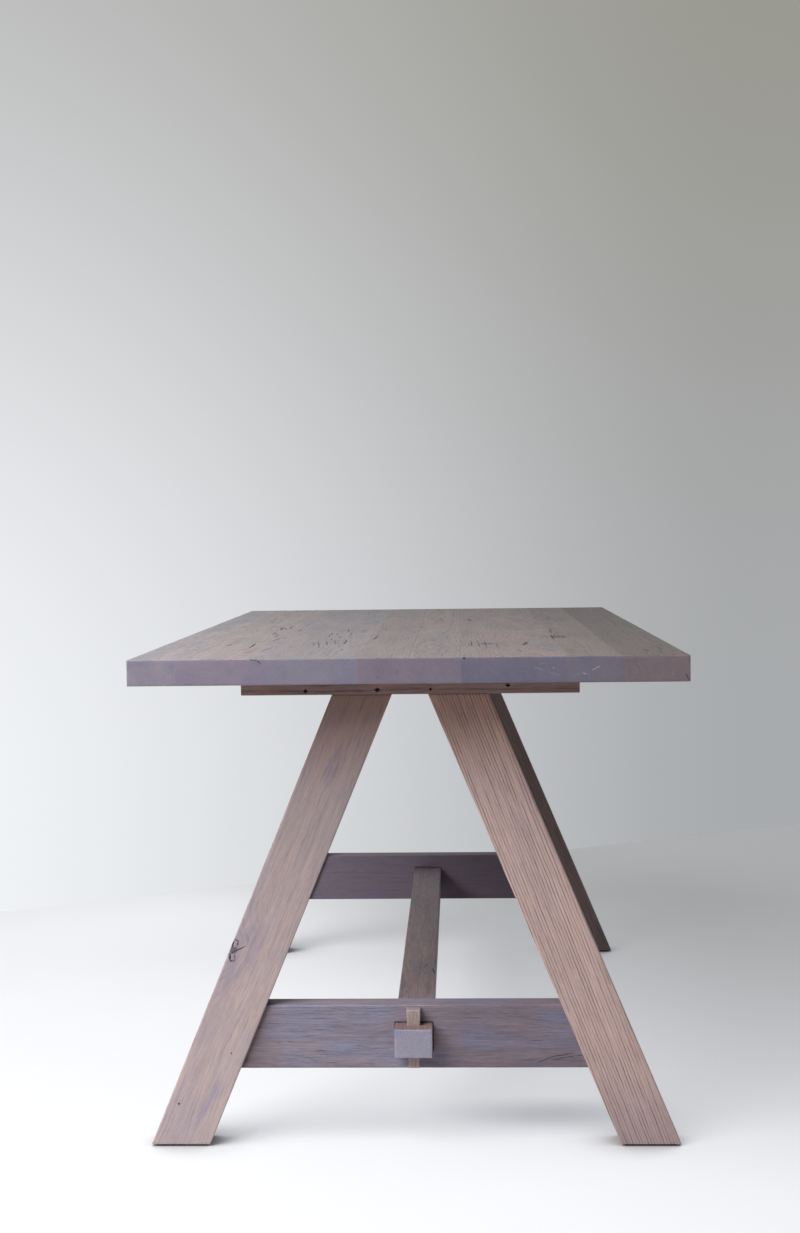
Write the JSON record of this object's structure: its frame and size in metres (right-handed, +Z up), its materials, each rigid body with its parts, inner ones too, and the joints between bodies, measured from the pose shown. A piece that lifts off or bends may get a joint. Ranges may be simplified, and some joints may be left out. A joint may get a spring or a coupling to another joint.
{
  "type": "sawbuck trestle table",
  "caption": "Solid oak dining table: a thick top of edge-glued boards on splayed A-frame trestles joined by a long beam with tusk keys.",
  "frame": {"origin": "on the floor, under the middle of the top", "axes": "+Z up; Y along the table's length, -Y its near end; X across it"},
  "size_m": [0.813, 1.524, 0.762],
  "materials": {
    "oak_top": "grey-brown oxidised reclaimed oak, matte oil",
    "oak_base": "grey-brown oxidised reclaimed oak, matte oil",
    "oak_key": "paler oxidised oak, matte oil",
    "beech": "bare beech, glued in",
    "zinc_steel": "zinc-plated steel",
    "brass": "plain brass",
    "felt": "pressed dark felt"
  },
  "bodies": {
    "table": {"beam": "oak_base", "far_batten": "oak_base", "far_left_foot_pad": "felt", "far_left_leg": "oak_base", "far_leg_screws": "zinc_steel", "far_rail": "oak_base", "far_right_foot_pad": "felt", "far_right_leg": "oak_base", "far_top_bolts": "zinc_steel", "far_top_inserts": "brass", "far_top_washers": "zinc_steel", "near_batten": "oak_base", "near_left_foot_pad": "felt", "near_left_leg": "oak_base", "near_leg_screws": "zinc_steel", "near_rail": "oak_base", "near_right_foot_pad": "felt", "near_right_leg": "oak_base", "near_top_bolts": "zinc_steel", "near_top_inserts": "brass", "near_top_washers": "zinc_steel", "top_board_1": "oak_top", "top_board_2": "oak_top", "top_board_3": "oak_top", "top_board_4": "oak_top", "top_board_5": "oak_top", "top_board_6": "oak_top", "top_board_7": "oak_top", "top_board_8": "oak_top", "top_joint_1_tenons": "beech", "top_joint_2_tenons": "beech", "top_joint_3_tenons": "beech", "top_joint_4_tenons": "beech", "top_joint_5_tenons": "beech", "top_joint_6_tenons": "beech", "top_joint_7_tenons": "beech"},
    "near_key_body": {"near_key": "oak_key"},
    "far_key_body": {"far_key": "oak_key"}
  },
  "joints": [
    {"name": "near_key_lift", "type": "slide", "parent": "table", "child": "near_key_body", "axis": [0, 0, 1], "range_m": [0, 0.08]},
    {"name": "far_key_lift", "type": "slide", "parent": "table", "child": "far_key_body", "axis": [0, 0, 1], "range_m": [0, 0.08]}
  ]
}
